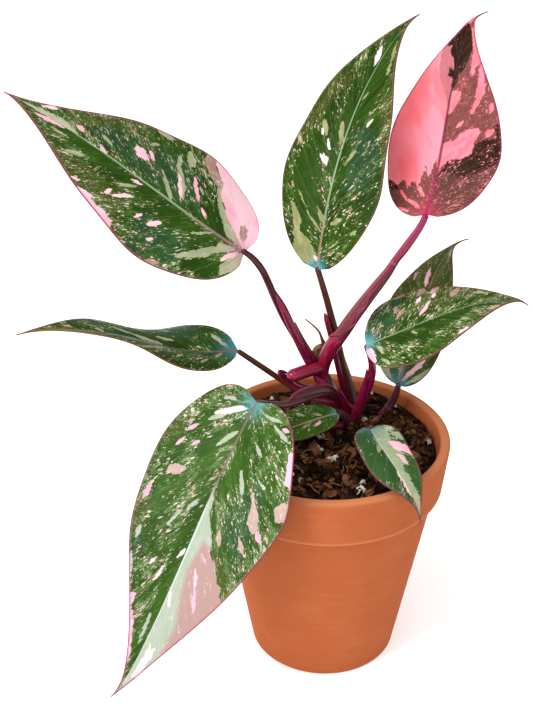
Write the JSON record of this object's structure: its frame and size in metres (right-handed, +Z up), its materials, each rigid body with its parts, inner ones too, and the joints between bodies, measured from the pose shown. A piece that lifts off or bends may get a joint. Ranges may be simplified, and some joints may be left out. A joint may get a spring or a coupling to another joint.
{
  "type": "potted philodendron",
  "caption": "Variegated pink and green philodendron with long pointed leaves on red stalks, in a round terracotta pot of soil.",
  "frame": {"origin": "centre of the pot's foot, on the plane that the pot stands on", "axes": "+Z up along the pot's axis; the plant's best side, as pictured, faces -Y, with +X to the viewer's right"},
  "size_m": [0.2652, 0.1942, 0.335],
  "materials": {
    "terracotta": "matt unglazed clay with faint turning marks",
    "potting_soil": "dark crumbly compost of bark with white perlite grains",
    "stem_skin": "smooth, dark maroon",
    "petiole_skin": "glossy crimson, darker toward the leaf",
    "leaf_green": "satin green flecked with cream and pink",
    "leaf_pink": "satin coral pink mixed with olive green",
    "dried_sheath": "dry, papery brown"
  },
  "bodies": {
    "root": {"pot": "terracotta", "soil": "potting_soil", "stem": "stem_skin", "dry_sheath": "dried_sheath", "petiole_upper_left": "petiole_skin", "petiole_top": "petiole_skin", "petiole_pink": "petiole_skin", "petiole_narrow_left": "petiole_skin", "petiole_lower_left": "petiole_skin", "petiole_right": "petiole_skin", "petiole_right_back": "petiole_skin", "petiole_small_centre": "petiole_skin", "petiole_small_front": "petiole_skin", "leaf_upper_left": "leaf_green", "leaf_top": "leaf_green", "leaf_pink": "leaf_pink", "leaf_narrow_left": "leaf_green", "leaf_lower_left": "leaf_green", "leaf_right": "leaf_green", "leaf_right_back": "leaf_green", "leaf_small_centre": "leaf_green", "leaf_small_front": "leaf_green"}
  },
  "joints": []
}
